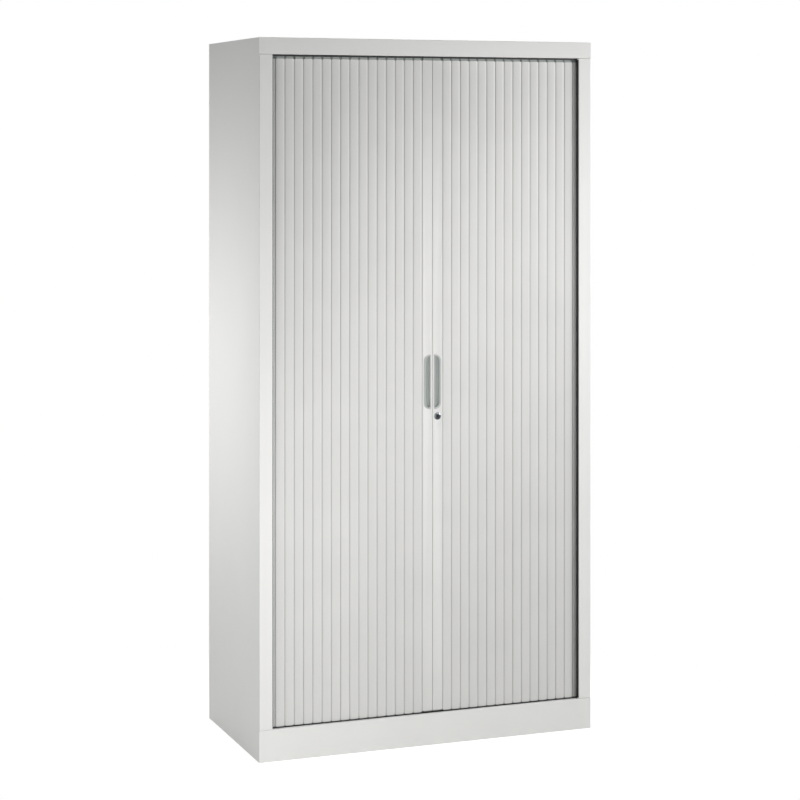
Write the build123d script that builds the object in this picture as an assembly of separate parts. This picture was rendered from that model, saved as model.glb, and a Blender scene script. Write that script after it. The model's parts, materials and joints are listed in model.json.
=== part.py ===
from build123d import *
from math import asin, atan2, cos, degrees, hypot, pi, radians, sin
import os

# Tall steel cupboard with two tambour leaves that slide sideways and turn into the side pockets.
# Millimetres. The origin is on the floor under the middle of the cupboard, its front faces -Y.

# Steel carcass
cabinet_width = 1000
cabinet_depth = 500
cabinet_height = 1980
carcass_sheet = 1.2
bend_radius = 2.0
stile_width = 38
rail_height = 46
plinth_height = 88
front_return = 10
return_hem = 8
plinth_foot = 15
flange_width = 30
pan_flange = 25
weld_gap = 0.3
seam_gap = 0.6
cut_margin = 1

# Back panel
back_sheet = 1.0
back_floor_gap = 20
back_top_gap = 4

# Tambour curtain
door_recess = 14
slat_pitch = 27
slat_crown = 4.5
slat_edge = 3.9
slat_skin = 3.0
slat_gap = 1.0
end_glide = 4.7
bead_radius = 1.5
bead_neck = 1.0
socket_clearance = 0.2
socket_wall = 1.0
hinge_web = 1.4
web_reach = 3.4
corner_radius = 38
pocket_gap = 6.8
turned_slats = 2
meeting_offset = 13.5

# Tracks and what runs in them
track_width = 14
groove_width = 4.4
track_floor = 2
track_end_gap = 3.8
top_track_lip = 4.5
base_track_lip = 2.5
pan_drop = 12
ceiling_rise = 13
top_end_gap = 5.5
base_end_gap = 1.5
tongue_thickness = 3.0
top_pin_room = 4
running_gap = 0.3
stop_length = 8
stop_height = 8
open_gap = 2

# Leading bars and their finger pulls
bar_width = 31
bar_depth = 15
bar_wall = 1.8
bar_round = 1.2
pull_height = 154
pull_width = 21
pull_edge = 5
pull_level = 1018
pull_rim = 2.5
pull_rim_height = 1.0
pull_wall = 1.2
pull_depth = 11.5
pull_outer_round = 16
pull_inner_round = 2.5
shoe_plate = 1.5
shoe_plug = 15
shoe_setback = 3

# Cam lock and its keeper
lock_level = 921
lock_rim_radius = 10.25
lock_rim = 2.0
lock_body_radius = 8
lock_body_flats = 13
lock_nut_flats = 22
lock_nut_height = 2.5
lock_plug_radius = 5.7
plug_clearance = 0.06
plug_proud = 0.4
key_slot_width = 2
key_slot_length = 7.5
key_slot_depth = 6
cam_square = 6
cam_sheet = 2.5
cam_width = 14
cam_reach = 37.5
cam_screw_flats = 8
cam_screw_head = 2
keeper_distance = 29
keeper_radius = 2.5
keeper_length = 7
keeper_plate = 2
keeper_width = 20
keeper_height = 50
hook_mouth = 4
hook_grip = 3.2

# Inner linings, shelves and their clips
lining_sheet = 1.0
lining_gap = 11.5
lining_flange = 15
lining_front_gap = 12.5
slot_width = 16
slot_height = 5
slot_pitch = 128
slot_first = 112
slot_column = 150
shelf_count = 4
shelf_slots = 3
shelf_sheet = 1.0
shelf_gap = 2.0
shelf_lip = 25
shelf_return = 12
shelf_setback = 6
shelf_back_gap = 7.5
floor_tray_height = 16
clip_sheet = 1.5
clip_width = 14
clip_hook = 6
clip_drop = 12
clip_tab = 12

# Base runners, levelling feet and plinth brackets
runner_width = 50
runner_sheet = 1.5
runner_gap = 8.8
runner_level = 26
runner_end_gap = 20
foot_inset = 55
foot_flats = 30
foot_pad = 9
stud_radius = 5
stud_length = 57
stud_clearance = 0.06
stud_hole_clearance = 0.5
nut_flats = 17
nut_height = 8
bracket_leg = 30
bracket_bottom = 10
bracket_sheet = 1.5

# Black edging on the stiles
edging_thickness = 1.5
edging_depth = 12

# Places worked out from the sizes above
half_width = cabinet_width / 2
inner_wall = half_width - carcass_sheet
front = -cabinet_depth / 2
back_face = cabinet_depth / 2
flange_face = back_face - back_sheet
flange_inside = flange_face - carcass_sheet
stile_edge = half_width - stile_width
top_underside = cabinet_height - carcass_sheet
rail_bottom = cabinet_height - rail_height
ceiling_level = rail_bottom + ceiling_rise
pan_level = plinth_height - pan_drop
path_y = front + door_recess + slat_crown
path_side = inner_wall - pocket_gap - slat_crown
flat_half = path_side - corner_radius
corner_y = path_y + corner_radius
top_track_level = rail_bottom - top_track_lip
base_track_top = plinth_height + base_track_lip
slat_bottom = base_track_top + base_end_gap
slat_top = top_track_level - top_end_gap
pin_bottom = pan_level + track_floor + running_gap
pin_top = ceiling_level - track_floor - top_pin_room
track_end = flange_inside - lining_sheet - track_end_gap
track_half = track_width / 2
groove_half = groove_width / 2
socket_inner = bead_radius + socket_clearance
socket_outer = socket_inner / cos(pi / 6) + socket_wall
slat_lip = slat_gap / 2
bar_back = slat_crown - bar_depth
bar_box = bar_width - socket_outer - bar_wall
lining_side = path_side - lining_gap
lining_front = corner_y - lining_front_gap
lining_inside = lining_side - lining_sheet
shelf_half = lining_inside - shelf_gap
shelf_front = lining_front + shelf_setback
shelf_back = flange_inside - shelf_back_gap
foot_x = inner_wall - runner_gap - runner_width / 2
lock_u = bar_width / 2
left_flat = flat_half + meeting_offset
right_flat = flat_half - meeting_offset


def block(x, y, z):
    """A box from its two limits along each axis."""
    middle = ((x[0] + x[1]) / 2, (y[0] + y[1]) / 2, (z[0] + z[1]) / 2)
    return Pos(*middle) * Box(x[1] - x[0], y[1] - y[0], z[1] - z[0])


def area(x, y):
    """A flat rectangle from its two limits along each axis."""
    return Pos((x[0] + x[1]) / 2, (y[0] + y[1]) / 2) * Rectangle(x[1] - x[0], y[1] - y[0])


def fold(points, thickness, hems=()):
    """Section of a bent sheet: points run along one face, the metal is on their left. Hems are sharp."""
    radii = [0 if corner in hems else bend_radius for corner in points[1:-1]]
    line = FilletPolyline(*points, radius=radii)
    return Face(Wire(line.edges()).offset_2d(thickness, side=Side.LEFT))


def crease(points, thickness):
    """Section of a thin sheet with sharp bends, for what is hidden inside."""
    line = Polyline(*points)
    return Face(Wire(line.edges()).offset_2d(thickness, kind=Kind.INTERSECTION, side=Side.LEFT))


def across(section, half_length):
    """A section drawn in Y and Z, carried along X to both sides of the middle."""
    return extrude(Plane.YZ * section, half_length, both=True)


def upright(section, bottom, top):
    """A section drawn in X and Y, carried up from one level to another."""
    return extrude(Pos(0, 0, bottom) * section, top - bottom)


def mirrored(part):
    """The same piece for the other side of the cupboard."""
    return mirror(part, about=Plane.YZ)


def group(parts):
    """Separate solids that share one node."""
    return Compound(children=[solid for part in parts for solid in part.solids()])


# Carcass

def side_panel():
    """Left side: the wall, the front stile and the rear flange are one folded sheet."""
    outline = fold(
        [
            (-half_width + flange_width, flange_face),
            (-half_width, flange_face),
            (-half_width, front),
            (-stile_edge, front),
            (-stile_edge, front + front_return),
        ],
        carcass_sheet,
    )
    wall = upright(outline, 0, top_underside)
    behind_rail = front + carcass_sheet + seam_gap
    past_return = front + front_return + seam_gap
    for low, high in ((0, plinth_height + seam_gap), (rail_bottom - seam_gap, top_underside)):
        wall -= block((-half_width, 0), (front, behind_rail), (low, high))
        wall -= block((-inner_wall, 0), (front, past_return), (low, high))
    top_edge = (top_underside - carcass_sheet, top_underside)
    wall += block((-inner_wall, flange_width - half_width), (front + flange_width, flange_face), top_edge)
    return wall


def top_panel():
    """Top sheet with the front rail, its soffit and the rear flange, all bent from one sheet."""
    soffit = front + front_return
    hem = (soffit, rail_bottom)
    section = fold(
        [
            (flange_face, cabinet_height - flange_width),
            (flange_face, cabinet_height),
            (front, cabinet_height),
            (front, rail_bottom),
            hem,
            (soffit, rail_bottom + return_hem),
        ],
        carcass_sheet,
        hems=[hem],
    )
    panel = across(section, half_width)
    inside = (front + carcass_sheet + weld_gap, cabinet_depth)
    below = (0, top_underside)
    for side in (-1, 1):
        ends = sorted((side * (inner_wall - weld_gap), side * cabinet_width))
        flange = sorted((side * (half_width - flange_width - weld_gap), side * cabinet_width))
        panel -= block(ends, inside, below)
        panel -= block(flange, (0, cabinet_depth), below)
    return panel


def ceiling_panel():
    """Inner top that closes the rail and carries the upper tracks."""
    forward = front + front_return + weld_gap
    rearward = flange_inside - weld_gap
    raised = top_underside - carcass_sheet - weld_gap
    points = [(forward, raised), (forward, ceiling_level), (rearward, ceiling_level), (rearward, raised)]
    return across(crease(points, carcass_sheet), inner_wall - weld_gap)


def base_pan():
    """Floor of the carcass between the side panels, with a flange turned down front and back."""
    forward = front + front_return + weld_gap
    rearward = flange_inside - weld_gap
    flange = pan_level - pan_flange
    points = [(rearward, flange), (rearward, pan_level), (forward, pan_level), (forward, flange)]
    return across(crease(points, carcass_sheet), inner_wall - weld_gap)


def plinth():
    """Front plinth: full-width face, ledge under the doors and a return at the floor."""
    ledge = front + front_return
    hems = [(ledge, plinth_height), (front, 0)]
    section = fold(
        [
            (ledge, plinth_height - return_hem),
            hems[0],
            (front, plinth_height),
            hems[1],
            (front + plinth_foot, 0),
        ],
        carcass_sheet,
        hems=hems,
    )
    face = across(section, half_width)
    inside = (front + carcass_sheet + weld_gap, cabinet_depth)
    for side in (-1, 1):
        ends = sorted((side * (inner_wall - weld_gap), side * cabinet_width))
        face -= block(ends, inside, (-cut_margin, cabinet_height))
    return face


def rear_base_rail():
    """Rail under the rear edge of the base pan, with a foot turned forward."""
    points = [
        (flange_face - flange_width, 0),
        (flange_face, 0),
        (flange_face, pan_level - carcass_sheet),
    ]
    return across(crease(points, carcass_sheet), half_width - flange_width - weld_gap)


def back_panel():
    """Flat back sheet laid over the flanges of the sides, the top and the base rail."""
    levels = (back_floor_gap, cabinet_height - back_top_gap)
    reach = half_width - bend_radius
    return block((-reach, reach), (flange_face, back_face), levels)


def plinth_brackets():
    """Angles that join the plinth to the two side panels."""
    inner_front = front + carcass_sheet
    points = [
        (-inner_wall, inner_front + bracket_leg),
        (-inner_wall, inner_front),
        (bracket_leg - inner_wall, inner_front),
    ]
    bracket_top = pan_level - pan_flange - seam_gap
    angle = upright(crease(points, bracket_sheet), bracket_bottom, bracket_top)
    return group([angle, mirrored(angle)])


def edging():
    """Black edging strip on the inner edge of the left stile."""
    reach = (front + carcass_sheet, front + carcass_sheet + edging_depth)
    span = (base_track_top + seam_gap, top_track_level - seam_gap)
    return block((-stile_edge, -stile_edge + edging_thickness), reach, span)


# Base runners and levelling feet

def foot_places():
    """Y of the front and the rear foot."""
    return (front + foot_inset, flange_inside - foot_inset)


def base_runner():
    """Left channel under the base pan that carries the two foot nuts over square holes."""
    outer = -inner_wall + runner_gap
    under = pan_level - carcass_sheet
    points = [
        (outer, under),
        (outer, runner_level),
        (outer + runner_width, runner_level),
        (outer + runner_width, under),
    ]
    length = flange_inside - front - 2 * runner_end_gap
    section = Plane.XZ * crease(points, runner_sheet)
    channel = extrude(Pos(0, front + runner_end_gap + length, 0) * section, length)
    hole = 2 * (stud_radius + stud_hole_clearance)
    for y in foot_places():
        channel -= Pos(-foot_x, y, runner_level) * Box(hole, hole, 2 * (runner_sheet + cut_margin))
    return channel


def foot_nuts():
    """Hexagon nuts welded on the runners above the stud holes."""
    nut = extrude(RegularPolygon(nut_flats / 2, 6, major_radius=False), nut_height)
    nut -= Cylinder(stud_radius + stud_clearance, 2 * (nut_height + cut_margin))
    level = runner_level + runner_sheet
    return group([Pos(side * foot_x, y, level) * nut for side in (-1, 1) for y in foot_places()])


def levelling_foot(side, y):
    """Hexagon glide on a stud that screws through its nut."""
    glide = extrude(RegularPolygon(foot_flats / 2, 6, major_radius=False), foot_pad)
    stud = Pos(0, 0, foot_pad + stud_length / 2) * Cylinder(stud_radius, stud_length)
    return Pos(side * foot_x, y, 0) * (glide + stud)


# The path of a leaf: along the front, round the corner and back along the side

def path_point(distance, flat):
    """Plan position at a distance along a left leaf's path from the meeting line."""
    start = flat - flat_half
    turn = corner_radius * pi / 2
    if distance <= flat:
        return (start - distance, path_y)
    if distance <= flat + turn:
        angle = (distance - flat) / corner_radius
        return (-flat_half - corner_radius * sin(angle), corner_y - corner_radius * cos(angle))
    return (-path_side, corner_y + distance - flat - turn)


def next_pin(distance, flat):
    """Distance along the path of the next hinge pin, one pitch away in a straight line."""
    x, y = path_point(distance, flat)
    low, high = distance, distance + 2 * slat_pitch
    for _ in range(50):
        middle = (low + high) / 2
        there = path_point(middle, flat)
        short = hypot(there[0] - x, there[1] - y) < slat_pitch
        low, high = (middle, high) if short else (low, middle)
    return high


def hinge_pins(flat):
    """Distances along the path of all hinge pins of a leaf, the first one at the leading bar."""
    pins = [bar_width]
    for _ in range(round((flat - bar_width) / slat_pitch) + turned_slats):
        pins.append(next_pin(pins[-1], flat))
    return pins


def open_travel(flat):
    """How far a leaf opens: until its bar reaches the stile or its last slat the end of the track."""
    tail = hinge_pins(flat)[-1]
    path_length = flat + corner_radius * pi / 2 + track_end - corner_y
    return min(flat - bar_width - open_gap, path_length - tail - stop_length - running_gap)


# Tracks

def track_plan(half, flat):
    """Plan of a strip along a left leaf's path, from the meeting line to the end of the track."""
    start = flat - flat_half
    straight = area((-flat_half, start), (path_y - half, path_y + half))
    ring = Circle(corner_radius + half) - Circle(corner_radius - half)
    outer = corner_radius + half
    quarter = Pos(-flat_half, corner_y) * (ring & area((-outer, 0), (-outer, 0)))
    side = area((-path_side - half, -path_side + half), (corner_y, track_end))
    return straight + quarter + side


def base_track(flat):
    """Lower track on the base pan, with its groove open upwards."""
    body = upright(track_plan(track_half, flat), pan_level, base_track_top)
    return body - upright(track_plan(groove_half, flat), pan_level + track_floor, cabinet_height)


def top_track(flat):
    """Upper track under the ceiling, with a deeper groove, which takes up the tolerance in height."""
    body = upright(track_plan(track_half, flat), top_track_level, ceiling_level)
    return body - upright(track_plan(groove_half, flat), 0, ceiling_level - track_floor)


def track_stops(flat):
    """Rubber blocks in the side run of both grooves of a leaf, where its last slat ends up."""
    tail = hinge_pins(flat)[-1] + open_travel(flat) + running_gap
    x, y = path_point(tail, flat)
    across_groove = (x - groove_half, x + groove_half)
    reach = (y, y + stop_length)
    low = pan_level + track_floor
    high = ceiling_level - track_floor
    base = block(across_groove, reach, (low, low + stop_height))
    top = block(across_groove, reach, (high - stop_height, high))
    return [base, top]


def centre_stops():
    """Blocks across the joint of the tracks, one in each groove, between the two leading bars."""
    reach = shoe_setback - running_gap
    across_joint = (meeting_offset - reach, meeting_offset + reach)
    groove = (path_y - groove_half, path_y + groove_half)
    low = pan_level + track_floor
    high = ceiling_level - track_floor
    base = block(across_joint, groove, (low, low + stop_height))
    top = block(across_joint, groove, (high - stop_height, high))
    return group([base, top])


# Curtain of slats. A slat's own section has its socket at the origin and its front towards +Y.

def hinge_neck():
    """Neck that carries a bead, the bead's pin at the origin."""
    return area((-web_reach - hinge_web / 2, 0), (-bead_neck / 2, bead_neck / 2))


def hinge_bead():
    """Six-sided bead that turns in the neighbour's socket."""
    return RegularPolygon(bead_radius, 6)


def hinge_socket():
    """Ring that snaps over the neighbour's bead, open where the neighbour's neck swings."""
    swing = degrees(2 * asin(slat_pitch / 2 / corner_radius))
    margin = degrees(asin(bead_neck / socket_inner))
    reach = 2 * socket_outer
    mouth = [(0, 0)]
    for angle in (180 - margin, 180 + swing / 2, 180 + swing + margin):
        mouth.append((reach * cos(radians(angle)), reach * sin(radians(angle))))
    throat = make_face(Polyline(*mouth, close=True))
    ring = RegularPolygon(socket_outer, 6) - RegularPolygon(socket_inner, 6, major_radius=False)
    return ring - throat


def slat_face():
    """Section of the visible skin: crowned outside, flat inside."""
    near = slat_lip
    far = slat_pitch - slat_lip
    crown = ThreePointArc((near, slat_edge), (slat_pitch / 2, slat_crown), (far, slat_edge))
    inside = Polyline((far, slat_edge), (far, slat_skin), (near, slat_skin), (near, slat_edge))
    return make_face([crown] + inside.edges())


def slat_section():
    """Section of a slat: the skin, two webs, the socket on one edge and the neck on the other."""
    near_web = area((socket_inner, socket_inner + hinge_web), (0, slat_skin))
    far = slat_pitch - web_reach
    far_web = area((far - hinge_web, far), (-bead_neck / 2, slat_skin))
    return slat_face() + near_web + far_web + hinge_socket() + Pos(slat_pitch, 0) * hinge_neck()


def slat():
    """One slat, its end glide on top; its bead runs on as the pins that follow the two tracks."""
    bead = upright(Pos(slat_pitch, 0) * hinge_bead(), pin_bottom, pin_top)
    glide = area((socket_inner, slat_pitch - web_reach), (bead_neck / 2, slat_skin - running_gap))
    return upright(slat_section(), slat_bottom, slat_top) + bead + upright(glide, slat_top, slat_top + end_glide)


def curtain(flat):
    """All slats of a left leaf, each laid between two hinge pins on the path."""
    pins = hinge_pins(flat)
    one = slat()
    slats = []
    for pin, following in zip(pins, pins[1:]):
        x, y = path_point(pin, flat)
        next_x, next_y = path_point(following, flat)
        heading = degrees(atan2(next_y - y, next_x - x))
        slats.append(Pos(x, y, 0) * Rot(0, 0, heading) * one)
    return group(slats)


# Leading bar, in its own section: the meeting line at the origin, its front towards +Y

def at_bar(part, flat):
    """Turns a piece of the leading bar to its place at the meeting line of a left leaf."""
    return Pos(flat - flat_half, path_y, 0) * Rot(0, 0, 180) * part


def pull_outline(inset):
    """D-shaped outline of the finger pull in U and height, straight towards the meeting line."""
    half = pull_height / 2 - inset
    face = area((pull_edge + inset, pull_edge + pull_width - inset), (-half, half))
    face = fillet(face.vertices().group_by(Axis.X)[-1], pull_outer_round - inset)
    if inset < pull_inner_round:
        face = fillet(face.vertices().group_by(Axis.X)[0], pull_inner_round - inset)
    return face


def pull_solid(inset, low, high):
    """The pull's outline carried through the bar between two depths, at the pull's level."""
    plane = Plane(origin=(0, low, pull_level), x_dir=(1, 0, 0), z_dir=(0, 1, 0))
    return extrude(plane * pull_outline(inset), high - low)


def bar_section():
    """Hollow extrusion with a lip in front and the bead for the first slat behind it."""
    near = slat_lip
    box = area((near, bar_box), (bar_back, slat_crown))
    box -= area((near + bar_wall, bar_box - bar_wall), (bar_back + bar_wall, slat_crown - bar_wall))
    lip = area((bar_box - bar_wall, bar_width - slat_lip), (slat_skin, slat_crown))
    section = box + lip
    front_corners = section.vertices().group_by(Axis.Y)[-1]
    section = fillet(front_corners, bar_round)
    neck = area((bar_box - bar_wall / 2, bar_width), (-bead_neck / 2, bead_neck / 2))
    return section + neck + Pos(bar_width, 0) * hinge_bead()


def leading_bar():
    """The bar that both hands pull, with the cut-out for its finger pull."""
    bar = upright(bar_section(), slat_bottom + shoe_plate, slat_top - shoe_plate)
    return bar - pull_solid(pull_rim, slat_crown - bar_wall - cut_margin, slat_crown + cut_margin)


def lock_barrel(clearance, low, high):
    """Round barrel with two flats, which keep the lock from turning in the bar."""
    half = lock_body_flats / 2 + clearance
    flats = (lock_u - half, lock_u + half)
    reach = (lock_level - lock_nut_flats, lock_level + lock_nut_flats)
    return lock_disc(lock_body_radius + clearance, low, high) & block(flats, (low, high), reach)


def finger_pull():
    """Moulded cup: a rim on the bar's face round a pocket with a flat floor."""
    top = slat_crown + pull_rim_height
    floor = top - pull_depth
    body = pull_solid(0, slat_crown, top)
    body += pull_solid(pull_rim + weld_gap, floor - pull_wall, slat_crown)
    return body - pull_solid(pull_rim + weld_gap + pull_wall, floor, top + cut_margin)


def bar_shoes():
    """End pieces of a leading bar: a plug in the hollow, a cover plate and a tongue."""
    cavity_u = (slat_lip + bar_wall + weld_gap, bar_box - bar_wall - weld_gap)
    cavity_w = (bar_back + bar_wall + weld_gap, slat_crown - bar_wall - weld_gap)
    plate_u = (slat_lip + weld_gap, bar_box - weld_gap)
    plate_w = (bar_back + weld_gap, slat_crown - weld_gap)
    tongue_u = (shoe_setback, bar_width - shoe_setback - socket_outer)
    tongue_w = (-tongue_thickness / 2, tongue_thickness / 2)
    base = block(cavity_u, cavity_w, (slat_bottom + shoe_plate, slat_bottom + shoe_plate + shoe_plug))
    base += block(plate_u, plate_w, (slat_bottom, slat_bottom + shoe_plate))
    base += block(tongue_u, tongue_w, (pin_bottom, slat_bottom))
    top = block(cavity_u, cavity_w, (slat_top - shoe_plate - shoe_plug, slat_top - shoe_plate))
    top += block(plate_u, plate_w, (slat_top - shoe_plate, slat_top))
    top += block(tongue_u, tongue_w, (slat_top, pin_top))
    return group([base, top])


# Cam lock in the right bar, in the bar's own section, its axis along Y

nut_back = bar_back - lock_nut_height
cam_front = nut_back - running_gap
cam_back = cam_front - cam_sheet
lock_axis = Pos(lock_u, 0, lock_level)


def lock_disc(radius, low, high):
    """A round stage of the lock between two depths."""
    return lock_axis * Pos(0, (low + high) / 2, 0) * Rot(90, 0, 0) * Cylinder(radius, high - low)


def lock_housing():
    """Barrel through the bar, with a rim on the bar's face."""
    body = lock_disc(lock_rim_radius, slat_crown, slat_crown + lock_rim)
    body += lock_barrel(0, nut_back, slat_crown)
    through = (nut_back - cut_margin, slat_crown + lock_rim + cut_margin)
    return body - lock_disc(lock_plug_radius + plug_clearance, *through)


def lock_bar():
    """The leading bar of the right leaf, cut through both walls for the barrel."""
    return leading_bar() - lock_barrel(weld_gap / 2, bar_back - cut_margin, slat_crown + cut_margin)


def lock_nut():
    """Thin hexagon nut that clamps the barrel from behind the bar."""
    outline = RegularPolygon(lock_nut_flats / 2, 6, major_radius=False)
    nut = extrude(Plane.XZ * outline, lock_nut_height)
    nut = lock_axis * Pos(0, bar_back, 0) * nut
    return nut - lock_disc(lock_body_radius + weld_gap / 2, nut_back - cut_margin, slat_crown)


def lock_plug():
    """Turning plug with the key slot in front and a square tail for the hook."""
    face = slat_crown + lock_rim + plug_proud
    plug = lock_disc(lock_plug_radius, cam_front, face)
    square = (-cam_square / 2, cam_square / 2)
    plug += lock_axis * block(square, (cam_back, cam_front), square)
    slot_u = (-key_slot_width / 2, key_slot_width / 2)
    slot_z = (-key_slot_length / 2, key_slot_length / 2)
    return plug - lock_axis * block(slot_u, (face - key_slot_depth, face + cut_margin), slot_z)


def lock_hook():
    """Flat hook on the plug's tail; it hangs at rest and swings up behind the keeper's stud."""
    half = cam_width / 2
    arm = area((-half, half), (-cam_reach, 0)) + Circle(half)
    mouth = area(
        (-cam_width, keeper_radius + weld_gap),
        (-keeper_distance - hook_grip, -keeper_distance + hook_mouth),
    )
    square = Rectangle(cam_square + weld_gap, cam_square + weld_gap)
    plate = extrude(Plane.XZ * (arm - mouth - square), cam_sheet)
    return lock_axis * Pos(0, cam_front, 0) * plate


def hook_screw():
    """Hexagon screw that holds the hook on the plug."""
    head = RegularPolygon(cam_screw_flats / 2, 6, major_radius=False)
    return lock_axis * Pos(0, cam_back, 0) * extrude(Plane.XZ * head, cam_screw_head)


def keeper():
    """Plate behind the left bar with the stud that the hook catches."""
    u = keeper_distance - lock_u
    face = bar_back - keeper_plate
    plate = block(
        (u - keeper_width / 2, u + keeper_width / 2),
        (face, bar_back),
        (lock_level - keeper_height / 2, lock_level + keeper_height / 2),
    )
    stud = Rot(90, 0, 0) * Cylinder(keeper_radius, keeper_length)
    return plate + Pos(u, face - keeper_length / 2, lock_level) * stud


# Linings and shelves

def slot_levels():
    """Heights of the slots in a lining."""
    first = pan_level + slot_first
    count = int((ceiling_level - slot_first - first) // slot_pitch) + 1
    return [first + slot_pitch * step for step in range(count)]


def shelf_levels():
    """Heights of the slots that hold the shelves."""
    levels = slot_levels()
    return [levels[shelf_slots * number - 1] for number in range(1, shelf_count + 1)]


def lining():
    """Left lining: it closes the pocket off and is slotted for the shelf clips."""
    section = crease(
        [
            (lining_flange - lining_side, flange_inside),
            (-lining_side, flange_inside),
            (-lining_side, lining_front),
            (lining_flange - lining_side, lining_front),
        ],
        lining_sheet,
    )
    sheet = upright(section, pan_level, ceiling_level)
    for level in slot_levels():
        for column in (-slot_column, slot_column):
            sheet -= Pos(-lining_side, column, level) * Box(lining_flange, slot_width, slot_height)
    return sheet


def tray(top, lip):
    """A shelf pressed from sheet, with its edges turned down."""
    section = crease(
        [
            (shelf_back, top - lip),
            (shelf_back, top),
            (shelf_front, top),
            (shelf_front, top - lip),
            (shelf_front + shelf_return, top - lip),
        ],
        shelf_sheet,
    )
    shelf = across(section, shelf_half)
    inside = (shelf_front + shelf_sheet, shelf_back - shelf_sheet)
    for side in (-1, 1):
        edge = sorted((side * (shelf_half - shelf_sheet), side * shelf_half))
        shelf += block(edge, inside, (top - lip, top - shelf_sheet))
    return shelf


def shelf_clip():
    """Left clip: its hook goes through the slot and up, its tab carries the shelf's edge."""
    outside = -lining_side - clip_sheet - weld_gap
    inside = -lining_inside
    points = [
        (outside, clip_hook),
        (outside, 0),
        (inside, 0),
        (inside, -clip_drop),
        (inside + clip_tab, -clip_drop),
    ]
    hook = make_face(Polyline(*points, *reversed(clip_back(outside, inside)), close=True))
    return extrude(Plane.XZ * hook, clip_width / 2, both=True)


def clip_back(outside, inside):
    """The other face of the clip, one sheet away from the first."""
    return [
        (outside + clip_sheet, clip_hook),
        (outside + clip_sheet, clip_sheet),
        (inside + clip_sheet, clip_sheet),
        (inside + clip_sheet, clip_sheet - clip_drop),
        (inside + clip_tab, clip_sheet - clip_drop),
    ]


def shelf_clips():
    """Four clips for each shelf."""
    clip = shelf_clip()
    clips = []
    for level in shelf_levels():
        for column in (-slot_column, slot_column):
            placed = Pos(0, column, level - clip_sheet / 2) * clip
            clips += [placed, mirrored(placed)]
    return group(clips)


def shelf_top(level):
    """Top face of a shelf whose clips hang in the slots at this level."""
    return level + clip_sheet / 2 - clip_drop + shelf_lip


nodes = {
    "left_side_panel": side_panel(),
    "right_side_panel": mirrored(side_panel()),
    "top_panel": top_panel(),
    "ceiling_panel": ceiling_panel(),
    "base_pan": base_pan(),
    "plinth": plinth(),
    "rear_base_rail": rear_base_rail(),
    "back_panel": back_panel(),
    "plinth_brackets": plinth_brackets(),
    "left_edging": edging(),
    "right_edging": mirrored(edging()),
    "left_base_runner": base_runner(),
    "right_base_runner": mirrored(base_runner()),
    "foot_nuts": foot_nuts(),
    "left_base_track": base_track(left_flat - weld_gap / 2),
    "right_base_track": mirrored(base_track(right_flat - weld_gap / 2)),
    "left_top_track": top_track(left_flat - weld_gap / 2),
    "right_top_track": mirrored(top_track(right_flat - weld_gap / 2)),
    "left_track_stops": group(track_stops(left_flat)),
    "right_track_stops": mirrored(group(track_stops(right_flat))),
    "centre_stops": centre_stops(),
    "left_lining": lining(),
    "right_lining": mirrored(lining()),
    "floor_tray": tray(pan_level + floor_tray_height, floor_tray_height),
    "shelf_clips": shelf_clips(),
    "left_slats": curtain(left_flat),
    "right_slats": mirrored(curtain(right_flat)),
    "left_bar": at_bar(leading_bar(), left_flat),
    "right_bar": mirrored(at_bar(lock_bar(), right_flat)),
    "left_finger_pull": at_bar(finger_pull(), left_flat),
    "right_finger_pull": mirrored(at_bar(finger_pull(), right_flat)),
    "left_bar_shoes": at_bar(bar_shoes(), left_flat),
    "right_bar_shoes": mirrored(at_bar(bar_shoes(), right_flat)),
    "keeper": at_bar(keeper(), left_flat),
    "lock_housing": mirrored(at_bar(lock_housing(), right_flat)),
    "lock_nut": mirrored(at_bar(lock_nut(), right_flat)),
    "lock_plug": mirrored(at_bar(lock_plug(), right_flat)),
    "lock_hook": mirrored(at_bar(lock_hook(), right_flat)),
    "hook_screw": mirrored(at_bar(hook_screw(), right_flat)),
}

for number, level in enumerate(shelf_levels(), 1):
    nodes[f"shelf_{number}"] = tray(shelf_top(level), shelf_lip)

for side, side_name in ((-1, "left"), (1, "right")):
    for y, end_name in zip(foot_places(), ("front", "rear")):
        nodes[f"{end_name}_{side_name}_foot"] = levelling_foot(side, y)

os.makedirs("parts", exist_ok=True)
for name, shape in nodes.items():
    export_step(shape, f"parts/{name}.step")

print("nodes", len(nodes))
print("left leaf opens", round(open_travel(left_flat), 2))
print("right leaf opens", round(open_travel(right_flat), 2))
print("meeting line x", meeting_offset, "lock x", meeting_offset + lock_u, "path y", path_y)
print("shelf tops", [round(shelf_top(level), 2) for level in shelf_levels()])
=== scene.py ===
import json
import math

import bmesh
import bpy
from mathutils import Matrix, Vector


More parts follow.
